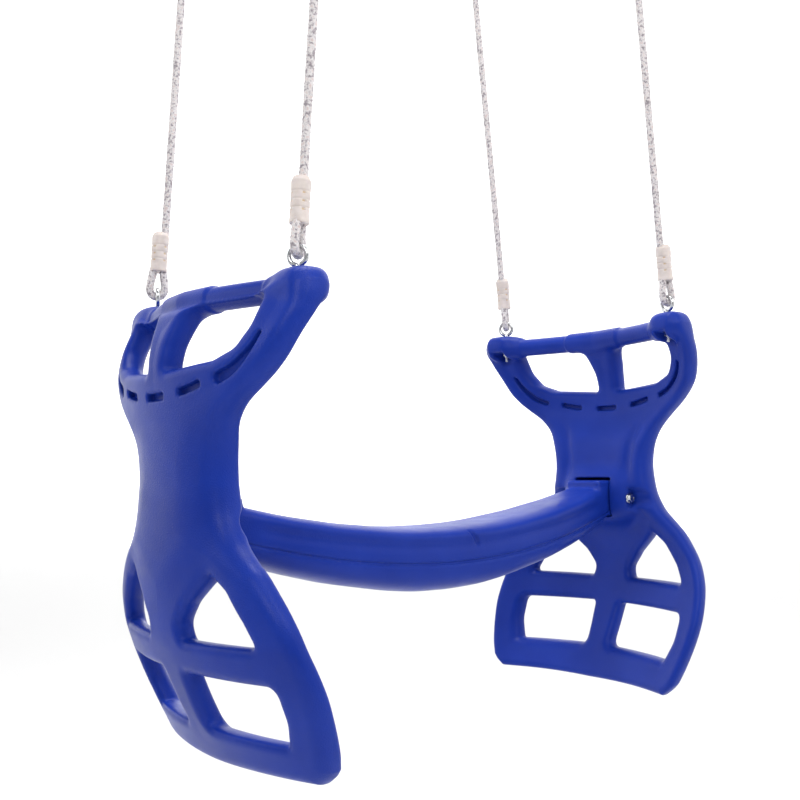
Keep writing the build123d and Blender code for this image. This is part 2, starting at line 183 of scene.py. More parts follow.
# Sleeve radius against the distance from its outer face, and the rows of notches in it.
SLEEVE_HEIGHTS = [0, 0.8, 2, 4, 6, 12, 30, 44, 50.5, 52, 57]
SLEEVE_RADII = [11.3, 11.9, 12.2, 12.1, 11.8, 11.6, 11.8, 12.1, 12.1, 11.9, 9.4]
NOTCH_ROWS = (14.0, 24.0, 34.0)
LOWER_FERRULE_RISE, UPPER_FERRULE_FALL = 26.0, 32.0

# The rope's line in the plane of its loops, in metres: out from its middle line, then up
# from the eye wire (lower half) or down from the ring wire (upper half).
LOWER_ROUTE = [(0.00585, 0.074), (0.00585, 0.030), (0.0113, 0.0016), (0.0081, -0.0081), (0, -0.0114),
               (-0.0081, -0.0081), (-0.0113, 0.0016), (-0.00585, 0.030), (-0.00585, 0.055),
               (-0.00585, 0.152)]
UPPER_ROUTE = [(-0.00585, 0.158), (-0.00585, 0.060), (-0.00585, 0.034), (-0.0157, 0.0057),
               (-0.0112, -0.0077), (0, -0.0124), (0.0112, -0.0077), (0.0157, 0.0057),
               (0.00585, 0.034), (0.00585, 0.080)]

# Viewpoint: x and y in metres, drop in mm, then degrees of yaw, pitch and roll.
CAMERA_X, CAMERA_Y, CAMERA_DROP = -1.0288, -1.1814, 228.3
CAMERA_TURNS = (39.475, 3.374, -1.243)
CAMERA_LENS = 46.51
# Studio, in metres.
FLOOR_FALL, FLOOR_REACH = 0.42, 14
WALL_REACH, WALL_TALL, WALL_STEPS, WALL_START, WALL_TURN = 9.0, 9.0, 24, -62, 9


# ---------------------------------------------------------------- numeric helpers
def profile(points, blur):
    """Smooth function through roughly the given (position, value) points."""
    places, values = zip(*points)
    dense = np.arange(min(places) - 60, max(places) + 60, 1.0)
    table = np.interp(dense, places, values)
    reach = int(3 * blur)
    kernel = np.exp(-0.5 * (np.arange(-reach, reach + 1) / blur) ** 2)
    table = np.convolve(np.pad(table, reach, mode="edge"), kernel / kernel.sum(), mode="valid")
    return lambda place: np.interp(place, dense, table)


def smooth_step(value, low, high):
    """0 below low, 1 above high, and smooth between."""
    t = np.clip((value - low) / (high - low), 0, 1)
    return t * t * (3 - 2 * t)


def smooth_union(a, b, k):
    """Union of two fields with a blend about k wide."""
    h = np.clip(0.5 + 0.5 * (b - a) / k, 0, 1)
    return b + (a - b) * h - k * h * (1 - h)


def smooth_cut(a, b, k):
    """Field a with field b cut out of it, edges softened by k."""
    return -smooth_union(-a, b, k)


def through(points, steps=10):
    """Smooth open curve through the points (Catmull-Rom)."""
    p = np.array(points, float)
    p = np.vstack([2 * p[0] - p[1], p, 2 * p[-1] - p[-2]])
    out = []
    for a, b, c, d in zip(p, p[1:], p[2:], p[3:]):
        for t in np.arange(steps) / steps:
            out.append(0.5 * (2 * b + (c - a) * t + (2 * a - 5 * b + 4 * c - d) * t**2
                              + (3 * b - a - 3 * c + d) * t**3))
    out.append(p[-2])
    return np.array(out)


def rounded(corners, steps=8):
    """Closed outline with each (y, drop, radius) corner rounded."""
    out = []
    count = len(corners)
    for i, (y, drop, radius) in enumerate(corners):
        here = np.array([y, drop], float)
        before = np.array(corners[i - 1][:2], float) - here
        after = np.array(corners[(i + 1) % count][:2], float) - here
        len_b, len_a = np.linalg.norm(before), np.linalg.norm(after)
        half = 0.5 * math.acos(np.clip(before @ after / (len_b * len_a), -1, 1))
        reach = min(radius / math.tan(half), 0.48 * len_b, 0.48 * len_a)
        start, end = here + before / len_b * reach, here + after / len_a * reach
        for t in np.linspace(0, 1, steps):
            out.append((1 - t) ** 2 * start + 2 * t * (1 - t) * here + t**2 * end)
    return np.array(out)


def line_distance(y, drop, line, widths=None):
    """Distance from points of a plane to an open line of points, less the line's half widths."""
    best = np.full(y.shape, 1e9)
    widths = np.zeros(len(line)) if widths is None else widths
    for a, b, wide_a, wide_b in zip(line[:-1], line[1:], widths[:-1], widths[1:]):
        step = b - a
        t = np.clip(((y - a[0]) * step[0] + (drop - a[1]) * step[1]) / (step @ step + 1e-12), 0, 1)
        away = np.hypot(y - a[0] - t * step[0], drop - a[1] - t * step[1])
        best = np.minimum(best, away - wide_a - t * (wide_b - wide_a))
    return best


def inside_depth(y, drop, outline):
    """Distance to a closed outline, positive inside it."""
    ring = np.vstack([outline, outline[:1]])
    inside = np.zeros(y.shape, bool)
    for a, b in zip(ring[:-1], ring[1:]):
        if a[1] == b[1]:
            continue
        crosses = (a[1] > drop) != (b[1] > drop)
        at = a[0] + (drop - a[1]) * (b[0] - a[0]) / (b[1] - a[1])
        inside ^= crosses & (y < at)
    return np.where(inside, 1, -1) * line_distance(y, drop, ring)


def surface_net(field, origin, step):
    """Vertices and quads of the zero surface of a field that is negative inside."""
    solid = field < 0
    n = np.array(field.shape)
    cells = [solid[dx:n[0] - 1 + dx, dy:n[1] - 1 + dy, dz:n[2] - 1 + dz]
             for dx in (0, 1) for dy in (0, 1) for dz in (0, 1)]
    count = sum(c.astype(np.int8) for c in cells)
    active = (count > 0) & (count < 8)
    number = np.full(active.shape, -1, np.int64)
    where = np.argwhere(active)
    number[active] = np.arange(len(where))
    total = np.zeros((len(where), 3))
    hits = np.zeros(len(where))
    for axis in range(3):
        others = [a for a in range(3) if a != axis]
        for da in (0, 1):
            for db in (0, 1):
                low = where.copy()
                low[:, others[0]] += da
                low[:, others[1]] += db
                high = low.copy()
                high[:, axis] += 1
                f0 = field[tuple(low.T)]
                f1 = field[tuple(high.T)]
                cross = (f0 < 0) != (f1 < 0)
                t = np.where(cross, f0 / np.where(cross, f0 - f1, 1), 0)
                offset = (low - where).astype(float)
                offset[:, axis] += t
                total[cross] += offset[cross]
                hits[cross] += 1
    points = np.array(origin) + step * (where + total / hits[:, None])
    quads = []
    for axis in range(3):
        b, c = [(1, 2), (2, 0), (0, 1)][axis]
        size = list(n)
        size[axis] -= 1
        lower = [slice(1, s - 1) for s in n]
        upper = list(lower)
        lower[axis] = slice(0, n[axis] - 1)
        upper[axis] = slice(1, n[axis])
        change = solid[tuple(lower)] != solid[tuple(upper)]
        at = np.argwhere(change)
        at[:, b] += 1
        at[:, c] += 1
        ring = []
        for db, dc in ((-1, -1), (0, -1), (0, 0), (-1, 0)):
            cell = at.copy()
            cell[:, b] += db
            cell[:, c] += dc
            ring.append(number[tuple(cell.T)])
        ring = np.stack(ring, 1)
        flip = ~solid[tuple(at.T)]
        ring[flip] = ring[flip][:, ::-1]
        quads.append(ring)
    return points, np.vstack(quads)


def relax(points, quads):
    """Evens out a net's points without shrinking it much."""
    amount = 0.5
    edges = np.vstack([quads[:, [0, 1]], quads[:, [1, 2]], quads[:, [2, 3]], quads[:, [3, 0]]])
    for sign in [amount, -amount * 1.02] * RELAX_ROUNDS:
        total = np.zeros_like(points)
        hits = np.bincount(edges[:, 0], minlength=len(points)).astype(float)
        for k in range(3):
            total[:, k] = np.bincount(edges[:, 0], points[edges[:, 1], k], len(points))
        points = points + sign * (total / hits[:, None] - points)
    return points


def moulding(field_of, spans, step, mirrored=False):
    """Points and quads of a field's surface; a mirrored field is given for y >= 0 only."""
    xs, ys, drops = (np.arange(low, high, step) for low, high in spans)
    field = field_of(*np.meshgrid(xs, ys, drops, indexing="ij"))
    low_y = ys[0]
    if mirrored:
        field = np.concatenate([field[:, :0:-1], field], axis=1)
        low_y = -ys[-1]
    points, quads = surface_net(field[:, :, ::-1], (xs[0], low_y, world_z(drops[-1])), step)
    return relax(points, quads), quads


# ---------------------------------------------------------------- mesh helpers
def mesh_piece(name, points_mm, faces, material, body, smooth=True):
    """A piece from points in millimetres (x, y, z in the CAD frame)."""
    mesh = bpy.data.meshes.new(name)
    points = np.asarray(points_mm, float) * MM
    mesh.from_pydata(points.tolist(), [], [list(map(int, f)) for f in faces])
    mesh.validate()
    mesh.materials.append(material)
    if smooth:
        mesh.polygons.foreach_set("use_smooth", [True] * len(mesh.polygons))
    mesh.update()
    obj = bpy.data.objects.new(name, mesh)
    bpy.context.scene.collection.objects.link(obj)
    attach(obj, body)
    return obj


def grid_faces(rows, columns):
    """Quads of a rows x columns grid of points, wrapped round its columns."""
    faces = []
    for r in range(rows - 1):
        for c in range(columns):
            d = (c + 1) % columns
            faces.append((r * columns + c, r * columns + d, (r + 1) * columns + d, (r + 1) * columns + c))
    return faces


def world_z(drop):
    """Height in millimetres of a level given as a drop."""
    return KNOB_TOP_Z - drop


# ---------------------------------------------------------------- materials
def node_material(name):
    material = bpy.data.materials.new(name)
    material.use_nodes = True
    tree = material.node_tree
    return material, tree, tree.nodes["Principled BSDF"]


def add(tree, kind, **settings):
    """A shader node with its settings and its input defaults."""
    node = tree.nodes.new(kind)
    for key, value in settings.items():
        if key.startswith("in_"):
            node.inputs[key[3:].replace("_", " ")].default_value = value
        else:
            setattr(node, key, value)
    return node


def ramp(tree, source, stops):
    node = tree.nodes.new("ShaderNodeValToRGB")
    tree.links.new(source, node.inputs["Fac"])
    elements = node.color_ramp.elements
    elements[0].position, elements[0].color = stops[0][0], (*stops[0][1], 1)
    elements[1].position, elements[1].color = stops[-1][0], (*stops[-1][1], 1)
    for place, colour in stops[1:-1]:
        elements.new(place).color = (*colour, 1)
    return node.outputs["Color"]


def noise(tree, place, scale, detail, **settings):
    node = add(tree, "ShaderNodeTexNoise", in_Scale=scale, in_Detail=detail, **settings)
    tree.links.new(place, node.inputs["Vector"])
    return node.outputs["Fac"]


def bumped(tree, height, strength, distance, normal=None):
    """Normal with a height laid over it."""
    node = add(tree, "ShaderNodeBump", in_Strength=strength, in_Distance=distance)
    tree.links.new(height, node.inputs["Height"])
    if normal is not None:
        tree.links.new(normal, node.inputs["Normal"])
    return node.outputs["Normal"]


def maths(tree, operation, a, b=None, clamp=False):
    """Output of a maths node; a and b are numbers or sockets."""
    node = add(tree, "ShaderNodeMath", operation=operation, use_clamp=clamp)
    for socket, value in zip(node.inputs, (a, b)):
        if value is None:
            continue
        if isinstance(value, (int, float)):
            socket.default_value = value
        else:
            tree.links.new(value, socket)
    return node.outputs[0]


def blue_plastic(name, with_parting_line=False):
    """Pebbled royal blue polyethylene, with a painted highlight in patches along its convex edges."""
    material, tree, shader = node_material(name)
    place = add(tree, "ShaderNodeTexCoord").outputs["Object"]
    base = ramp(tree, noise(tree, place, 9.0, 3.0, in_Roughness=0.55), [
        (0.30, (0.0060, 0.026, 0.255)), (0.55, (0.0075, 0.031, 0.290)), (0.75, (0.0100, 0.036, 0.320))])
    # Painted highlight: convex edges (high pointiness) are mixed towards a paler blue where a noise
    # pattern is high.
    highlight_patches = noise(tree, place, 140.0, 6.0, in_Roughness=0.7)
    edges = add(tree, "ShaderNodeNewGeometry").outputs["Pointiness"]
    raised = maths(tree, "MULTIPLY", maths(tree, "SUBTRACT", edges, 0.515), 9.0, clamp=True)
    edge_highlight = maths(tree, "MULTIPLY", raised, maths(tree, "GREATER_THAN", highlight_patches, 0.56))
    edge_highlight = maths(tree, "MULTIPLY", edge_highlight, 0.35)
    mix = add(tree, "ShaderNodeMix", data_type="RGBA")
    tree.links.new(edge_highlight, mix.inputs["Factor"])
    tree.links.new(base, mix.inputs["A"])
    mix.inputs["B"].default_value = (0.06, 0.11, 0.42, 1)
    tree.links.new(mix.outputs["Result"], shader.inputs["Base Color"])
    rough = ramp(tree, noise(tree, place, 35.0, 4.0), [(0.3, (0.30,) * 3), (0.7, (0.38,) * 3)])
    tree.links.new(rough, shader.inputs["Roughness"])
    pebble = add(tree, "ShaderNodeTexVoronoi", in_Scale=640.0, feature="SMOOTH_F1")
    tree.links.new(place, pebble.inputs["Vector"])
    grain = noise(tree, place, 520.0, 3.0)
    height = maths(tree, "ADD", maths(tree, "MULTIPLY", pebble.outputs["Distance"], 0.6),
                   maths(tree, "MULTIPLY", grain, 0.5))
    normal = bumped(tree, height, 0.45, 0.0010)
    if with_parting_line:
        normal = parting_line(tree, place, normal)
    tree.links.new(normal, shader.inputs["Normal"])
    shader.inputs["Specular IOR Level"].default_value = 0.14
    return material


def parting_line(tree, place, normal):
    """Fine groove along the seat's side where the two mould halves met."""
    split = add(tree, "ShaderNodeSeparateXYZ")
    tree.links.new(place, split.inputs["Vector"])
    along = maths(tree, "MULTIPLY", split.outputs["X"], split.outputs["X"])
    line = maths(tree, "ADD", maths(tree, "MULTIPLY", along, PARTING_RISE), world_z(PARTING_DROP) * MM)
    off = maths(tree, "ABSOLUTE", maths(tree, "SUBTRACT", split.outputs["Z"], line))
    groove = ramp(tree, maths(tree, "MULTIPLY", off, 400.0, clamp=True),
                  [(0.0, (0.0,) * 3), (0.45, (0.25,) * 3), (1.0, (1.0,) * 3)])
    return bumped(tree, groove, 0.8, 0.0014, normal)


def rope_fibre():
    """White polypropylene braid with grey and pinkish flecks."""
    material, tree, shader = node_material("rope_fibre")
    place = add(tree, "ShaderNodeTexCoord").outputs["Object"]
    base = ramp(tree, noise(tree, place, 240.0, 2.0, in_Roughness=0.5), [
        (0.36, (0.26, 0.23, 0.25)), (0.44, (0.50, 0.46, 0.48)), (0.54, (0.72, 0.70, 0.70)),
        (0.66, (0.60, 0.50, 0.49))])
    tree.links.new(base, shader.inputs["Base Color"])
    tree.links.new(bumped(tree, noise(tree, place, 1600.0, 2.0), 0.35, 0.0004), shader.inputs["Normal"])
    shader.inputs["Roughness"].default_value = 0.55
    shader.inputs["Subsurface Weight"].default_value = 0.25
    shader.inputs["Subsurface Radius"].default_value = (0.002, 0.002, 0.002)
    shader.inputs["Sheen Weight"].default_value = 0.2
    return material


def sleeve_plastic(name, colours):
    """Cream moulded plastic, slightly cloudy."""
    material, tree, shader = node_material(name)
    place = add(tree, "ShaderNodeTexCoord").outputs["Object"]
    base = ramp(tree, noise(tree, place, 90.0, 3.0), [(0.35, colours[0]), (0.65, colours[1])])
    tree.links.new(base, shader.inputs["Base Color"])
    tree.links.new(bumped(tree, noise(tree, place, 700.0, 2.0), 0.15, 0.0005), shader.inputs["Normal"])
    shader.inputs["Roughness"].default_value = 0.42
    shader.inputs["Subsurface Weight"].default_value = 0.35
    shader.inputs["Subsurface Radius"].default_value = (0.004, 0.003, 0.002)
    return material


def zinc_steel():
    """Bright zinc plating with faint clouding."""
    material, tree, shader = node_material("zinc_steel")
    place = add(tree, "ShaderNodeTexCoord").outputs["Object"]
    cloud = noise(tree, place, 260.0, 5.0)
    base = ramp(tree, cloud, [(0.3, (0.50, 0.52, 0.54)), (0.7, (0.72, 0.73, 0.74))])
    tree.links.new(base, shader.inputs["Base Color"])
    rough = ramp(tree, cloud, [(0.3, (0.16,) * 3), (0.7, (0.30,) * 3)])
    tree.links.new(rough, shader.inputs["Roughness"])
    tree.links.new(bumped(tree, noise(tree, place, 900.0, 2.0), 0.08, 0.0003), shader.inputs["Normal"])
    shader.inputs["Metallic"].default_value = 1.0
    return material


# ---------------------------------------------------------------- end panels
def panel_plane(y, drop):
    """Depth inside the panel's outline and windows, over a plane of (y, drop) points."""
    side = through(PANEL_SIDE)
    top = through(PANEL_TOP)
    bottom = through(PANEL_BOTTOM)
    corner = through([PANEL_SIDE[-1], PANEL_CORNER, PANEL_BOTTOM[0]], 6)
    half = np.vstack([top, side[:-1], corner[:-1], bottom])
    other = half[::-1][1:-1] * [-1, 1]
    depth = inside_depth(y, drop, np.vstack([half, other]))
    for window in (HANDLE_WINDOW, UPPER_FOOT_WINDOW, LOWER_FOOT_WINDOW):
        outline = rounded(window)
        for mirror in (1, -1):
            depth = np.minimum(depth, -inside_depth(y, drop, outline * [mirror, 1]))
    return depth


def round_box(x, y, z, half, radius):
    """Field of a box with rounded edges, given offsets from its centre."""
    q = [np.abs(v) - h + radius for v, h in zip((x, y, z), half)]
    outer = np.sqrt(sum(np.maximum(v, 0) ** 2 for v in q))
    return outer + np.minimum(np.maximum(np.maximum(q[0], q[1]), q[2]), 0) - radius


def panel_field(x, y, drop):
    """Field of the right-hand end panel for y >= 0."""
    flat_y, flat_drop = y[0], drop[0]
    depth = panel_plane(flat_y, flat_drop)[None]
    bow = BOW_R - np.sqrt(BOW_R**2 - y**2) + profile(WAIST_CURL, 12)(drop) * (y / 90) ** 2
    middle = profile(PANEL_MIDDLE, 9)(drop) - bow
    near_edge = smooth_step(depth, 0, EDGE_FADE)
    half = profile(PANEL_EDGE_HALF, 12)(drop) * (1 - near_edge)
    half = half + profile(PANEL_CENTRE_HALF, 10)(drop) * near_edge
    edge_round = profile(PANEL_EDGE_ROUND, 12)(drop)
    off = np.abs(x - middle)
    edge = np.maximum(0, 1 - depth / edge_round)
    valley = np.exp(-(((depth - VALLEY_DEPTH) / VALLEY_WIDTH) ** 2))
    valley = valley * smooth_step(drop, *VALLEY_START) * (1 - smooth_step(drop, *VALLEY_END))
    half = half - np.where(x < middle, VALLEY_SINK, 0) * valley
    shell = ((off / half) ** EDGE_POWER + edge**EDGE_POWER) ** (1 / EDGE_POWER)
    shell = (shell - 1) * np.minimum(half, edge_round)
    bar_x = profile(BAR_LINE, 10)(y)
    bar_r = profile(BAR_RADII, 1.6)(y)
    bar = np.hypot((x - bar_x) * BAR_SQUASH, drop - BAR_DROP) - bar_r
    bar = np.maximum(bar, y - BAR_END)
    body = smooth_union(shell, bar, BAR_BLEND)
    knob = [(v - c) / s for v, c, s in zip((x, y, drop), KNOB_CENTRE, KNOB_SEMI)]
    knob = (sum(np.abs(v) ** KNOB_POWER for v in knob) ** (1 / KNOB_POWER) - 1) * KNOB_SEMI[2]
    body = smooth_union(body, knob, KNOB_BLEND)
    body = -smooth_union(-body, drop, TOP_BLEND)
    cheek = [(v - c) / s for v, c, s in zip((x, y, drop), CHEEK_CENTRE, CHEEK_SEMI)]
    cheek = (sum(np.abs(v) ** CHEEK_POWER for v in cheek) ** (1 / CHEEK_POWER) - 1) * CHEEK_SEMI[0]
    body = smooth_union(body, cheek, CHEEK_BLEND)
    pocket = round_box(x - POCKET_X, y, drop - (POCKET_TOP + POCKET_BOTTOM) / 2,
                       (POCKET_HALF_X, POCKET_HALF, (POCKET_BOTTOM - POCKET_TOP) / 2), POCKET_ROUND)
    body = smooth_cut(body, pocket, POCKET_SOFT)
    scoop = np.hypot(x - SCOOP_X, drop - SEAT_BOLT_DROP) - SCOOP_R
    scoop = np.maximum(scoop, SEAT_BOLT_GRIP - y)
    body = smooth_cut(body, scoop, SCOOP_SOFT)
    recess = np.maximum(np.abs(y - EYE_Y) - RECESS_HALF, NUT_SEAT_DROP - drop)
    wall = x - RECESS_WALL_X + RECESS_LEAN * np.maximum(0, drop - RECESS_LEAN_DROP)
    recess = np.maximum(recess, wall * RECESS_WALL_SCALE)
    body = smooth_cut(body, recess, RECESS_SOFT)
    for line in SLOT_LINES:
        line = through(line, 6)
        for width, face in ((line[:, 2], x < middle), (line[:, 3], x > middle)):
            slot = line_distance(flat_y, flat_drop, line[:, :2], width)[None]
            slot = np.maximum(slot, half - SLOT_DEPTH - off)
            far_away = 60
            body = smooth_cut(body, np.where(face, slot, far_away), SLOT_SOFT)
    return body


def end_panels(material):
    """Both end panels, from one field; the left one is its mirror image."""
    points, quads = moulding(panel_field, PANEL_SPANS, PANEL_STEP, mirrored=True)
    for name, side in SIDES.items():
        faces = quads if side > 0 else quads[:, ::-1]
        panel = mesh_piece(f"moulded_panel_{name}", points * [side, 1, 1], faces, material,
                           "glider")
        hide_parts(f"end_panel_{name}")


# ---------------------------------------------------------------- seat
def seat_field(x, y, drop):
    """Field of the seat plank with its tongues."""
    along = np.abs(x)
    top = profile(SEAT_TOP, 12)(along)
    bottom = profile(SEAT_BOTTOM, 12)(along)
    wide = profile(SEAT_HALF_WIDTH, 12)(along)
    middle, tall = (top + bottom) / 2, (bottom - top) / 2
    power = np.where(drop < middle, UPPER_POWER, LOWER_POWER)
    plank = (np.abs(y / wide) ** power + np.abs((drop - middle) / tall) ** power) ** (1 / power)
    plank = (plank - 1) * np.minimum(wide, tall)
    on_side = smooth_step(np.abs(y) / wide, 0.62, 0.92) * (1 - smooth_step(along, 300, 350))
    below = drop - top
    for level, width, sunk in SIDE_BANDS:
        plank = plank + on_side * sunk * np.exp(-(((below - level) / width) ** 2))
    parting = drop - (PARTING_DROP - PARTING_RISE * MM * x**2)
    plank = plank + on_side * PARTING_GROOVE[0] * np.exp(-((parting / PARTING_GROOVE[1]) ** 2))
    plank = -smooth_union(-plank, SEAT_END - along, SEAT_END_BLEND)
    tongue_bottom = POCKET_BOTTOM - TONGUE_LOW_PLAY
    tongue = round_box(along - TONGUE_X, y, drop - (TONGUE_TOP + tongue_bottom) / 2,
                       (TONGUE_HALF_X, POCKET_HALF - TONGUE_SIDE_PLAY, (tongue_bottom - TONGUE_TOP) / 2),
                       TONGUE_ROUND)
    body = smooth_union(plank, tongue, TONGUE_ROUND)
    notch = line_distance(x, drop, np.array(NOTCH_LINE)) - NOTCH_R
    notch = np.maximum(notch, y + NOTCH_SIDE_Y)
    return smooth_cut(body, notch, NOTCH_SOFT)


def seat(material):
    points, quads = moulding(seat_field, SEAT_SPANS, SEAT_STEP)
    plank = mesh_piece("moulded_seat", points, quads, material, "glider")
    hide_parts("seat_plank")


# ---------------------------------------------------------------- tubes and turned pieces
def frames(path, first):
    """Side and up directions along a path, carried without twist from a first side direction."""
    steps = np.gradient(path, axis=0)
    tangents = steps / np.linalg.norm(steps, axis=1)[:, None]
    side = np.array(first, float)
    sides = []
    for tangent in tangents:
        side = side - tangent * (side @ tangent)
        side = side / np.linalg.norm(side)
        sides.append(side)
    sides = np.array(sides)
    return sides, np.cross(tangents, sides)


def tube(path, first, radius, around):
    """Points and faces of a closed tube; radius is an array of len(path) x around."""
    path = np.array(path, float)
    sides, ups = frames(path, first)
    angles = np.arange(around) * 2 * math.pi / around
    ring = (np.cos(angles)[None, :, None] * sides[:, None] + np.sin(angles)[None, :, None] * ups[:, None])
    points = (path[:, None] + ring * radius[:, :, None]).reshape(-1, 3)
    faces = grid_faces(len(path), around)
    count = len(points)
    points = np.vstack([points, path[0], path[-1]])
    for c in range(around):
        d = (c + 1) % around
        faces.append((count, d, c))
        faces.append((count + 1, count - around + c, count - around + d))
    return points, faces


def lathe(levels, shape, around):
    """Closed turned piece with its axis along z; levels are (z, radius), shape bends each ring."""
    angles = np.arange(around) * 2 * math.pi / around
    points = []
    for z, radius in levels:
        reach = shape(angles, radius, z)
        points += [(r * math.cos(a), r * math.sin(a), z) for a, r in zip(angles, reach)]
    faces = grid_faces(len(levels), around)
    last = len(levels) - 1
    for c in range(around):
        d = (c + 1) % around
        faces.append((last * around + c, last * around + d, d, c))
    return np.array(points), faces


def even(angles, radius, _):
    """Ring shape of a round piece."""
    return np.full(len(angles), radius)


def hexagonal(flat, low, high):
    """Ring shape of a hexagon with chamfered corners between two levels."""
    def shape(angles, radius, z):
        if radius < flat:
            return np.full(len(angles), radius)
        turned = (angles + math.pi / 6) % (math.pi / 3) - math.pi / 6
        corner = flat / np.cos(turned)
        limit = flat * 1.02 + 1.7 * min(z - low, high - z)
        return np.minimum(corner, max(limit, flat * 0.96))
    return shape


def placed(points, origin, axis, turn=0.0):
    """Points moved so that their z axis runs along axis from origin."""
    axis = np.array(axis, float) / np.linalg.norm(axis)
    side = np.cross([0, 1, 0] if abs(axis[1]) < 0.9 else [1, 0, 0], axis)
    side = side / np.linalg.norm(side)
    up = np.cross(axis, side)
    c, s = math.cos(turn), math.sin(turn)
    x = points[:, :1] * c - points[:, 1:2] * s
    y = points[:, :1] * s + points[:, 1:2] * c
    return np.array(origin) + x * side + y * up + points[:, 2:] * axis


def nut_levels(bore, flat, height, collar):
    """Profile of a lock nut: bore, chamfered hexagon, and a nylon collar on top."""
    hex_top = height - collar
    return [(0, bore), (0, flat * 0.9), (0.0, flat), (0.5, flat), (1.2, flat), (hex_top - 0.7, flat),
            (hex_top, flat), (hex_top, flat * 0.86), (height - 0.6, flat * 0.80), (height, flat * 0.68),
            (height, bore + 0.5), (height - 0.6, bore)]


def thread(path_length, steps, radius, pitch, around, depth):
    """Radii of a shank of that length with a helical thread."""
    along = np.linspace(0, path_length, steps)[:, None]
    angles = np.arange(around)[None] / around
    return radius - depth * (0.5 + 0.5 * np.cos(2 * math.pi * (along / pitch + angles)))


# ---------------------------------------------------------------- eye bolts and seat bolts
def eye_bolts(steel):
    """Bent-wire eye bolts through the knobs, with washers and lock nuts below."""
    for side_name, side in SIDES.items():
        for across_name, across in ACROSS.items():
            corner = f"{side_name}_{across_name}"
            foot = np.array([side * EYE_X, across * EYE_Y, world_z(0)])
            turn = math.radians(EYE_TURNS[corner])
            flat = np.array([-math.sin(turn), math.cos(turn), 0])
            normal = np.array([math.cos(turn), math.sin(turn), 0])
            shank = np.linspace(-SHANK_END_DROP, -1.0, SHANK_STEPS)
            path = [foot + [0, 0, z] for z in shank]
            for degree in range(EYE_START, EYE_STOP, 6):
                angle = math.radians(degree)
                slip = EYE_SLIP * (degree - EYE_START) / (EYE_STOP - EYE_START) * across
                path.append(foot + [0, 0, EYE_RISE] + EYE_MEAN_R * (math.cos(angle) * flat
                            + math.sin(angle) * np.array([0, 0, 1])) + slip * normal)
            path = np.array(path)
            radius = np.full((len(path), WIRE_AROUND), EYE_WIRE_R)
            threaded = thread(SHANK_END_DROP - 1, SHANK_STEPS, SHANK_R, 1.25, WIRE_AROUND, 0.45)
            radius[:SHANK_STEPS] = threaded
            radius[0] *= 0.75
            radius[-1] *= 0.8
            points, faces = tube(path, normal, radius, WIRE_AROUND)
            bolt = mesh_piece(f"bent_eye_{corner}", points, faces, steel, "glider")
            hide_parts(f"eye_bolt_{corner}")
            washer_top = world_z(NUT_SEAT_DROP)
            points, faces = lathe(EYE_WASHER, even, 40)
            points = points + [foot[0], foot[1], washer_top]
            ring = mesh_piece(f"plated_washer_{corner}", points, faces, steel, "glider",
                              smooth=False)
            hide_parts(f"eye_washer_{corner}")
            points, faces = lathe(nut_levels(3.2, 5.4, 6.5, 2.0), hexagonal(5.4, 0, 4.5), 48)
            washer_bottom = [foot[0], foot[1], washer_top + EYE_WASHER[-1][0]]
            points = placed(points, washer_bottom, [0, 0, -1], turn + 0.3)
            nut = mesh_piece(f"lock_nut_{corner}", points, faces, steel, "glider",
                             smooth=False)
            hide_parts(f"eye_lock_nut_{corner}")


def seat_bolts(steel):
    """Cross bolts through the seat's tongues, head on the near side."""
    for side_name, side in SIDES.items():
        head_y = -SEAT_BOLT_GRIP - SEAT_WASHER_THICK
        centre = np.array([side * SEAT_BOLT_X, 0, world_z(SEAT_BOLT_DROP)])
        levels = [(-0.1, 4.0), (0, HEAD_FLAT * 0.94), (0, HEAD_FLAT), (0.6, HEAD_FLAT),
                  (4.2, HEAD_FLAT), (5.0, HEAD_FLAT), (5.5, HEAD_FLAT * 0.88), (5.5, HEAD_FLAT * 0.6),
                  (5.2, HEAD_FLAT * 0.5), (5.2, 0.2)]
        points, faces = lathe(levels, hexagonal(HEAD_FLAT, -2.0, 5.6), 48)
        head = placed(points, centre + [0, head_y, 0], [0, -1, 0], 0.35)
        count = len(head)
        path = [centre + [0, y, 0] for y in np.linspace(head_y, -head_y + 9, SEAT_SHANK_STEPS)]
        radius = np.full((SEAT_SHANK_STEPS, WIRE_AROUND), 3.9)
        threaded = SEAT_SHANK_STEPS - SEAT_PLAIN_STEPS
        radius[SEAT_PLAIN_STEPS:] = thread(51, threaded, 3.95, 1.4, WIRE_AROUND, 0.5)
        radius[-1] *= 0.8
        shank, shank_faces = tube(path, [1, 0, 0], radius, WIRE_AROUND)
        faces = faces + [tuple(i + count for i in f) for f in shank_faces]
        bolt = mesh_piece(f"hex_bolt_{side_name}", np.vstack([head, shank]), faces, steel, "glider",
                          smooth=False)
        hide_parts(f"seat_bolt_{side_name}")
        rings, ring_faces = [], []
        for across in (-1, 1):
            points, faces = lathe(SEAT_WASHER, even, 44)
            points = placed(points, centre + [0, across * SEAT_BOLT_GRIP, 0], [0, across, 0])
            ring_faces += [tuple(i + len(points) * len(rings) for i in f) for f in faces]
            rings.append(points)
        pair = mesh_piece(f"plated_washers_{side_name}", np.vstack(rings), ring_faces, steel, "glider",
                          smooth=False)
        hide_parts(f"seat_washers_{side_name}")
        points, faces = lathe(nut_levels(4.0, 6.4, 8.0, 2.4), hexagonal(6.4, 0, 5.6), 48)
        points = placed(points, centre + [0, SEAT_BOLT_GRIP + SEAT_WASHER_THICK, 0], [0, 1, 0], 0.2)
        nut = mesh_piece(f"cross_bolt_nut_{side_name}", points, faces, steel, "glider",
                         smooth=False)
        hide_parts(f"seat_lock_nut_{side_name}")


# ---------------------------------------------------------------- ropes
def rope_axes(side, turn):
    """Directions of a rope: out in the plane of its loop, and up along it."""
    up = Vector((-side * ROPE_LEAN, 0, 1)).normalized()
    level = Vector((side * math.cos(turn), side * math.sin(turn), 0))
    return (level - up * level.dot(up)).normalized(), up


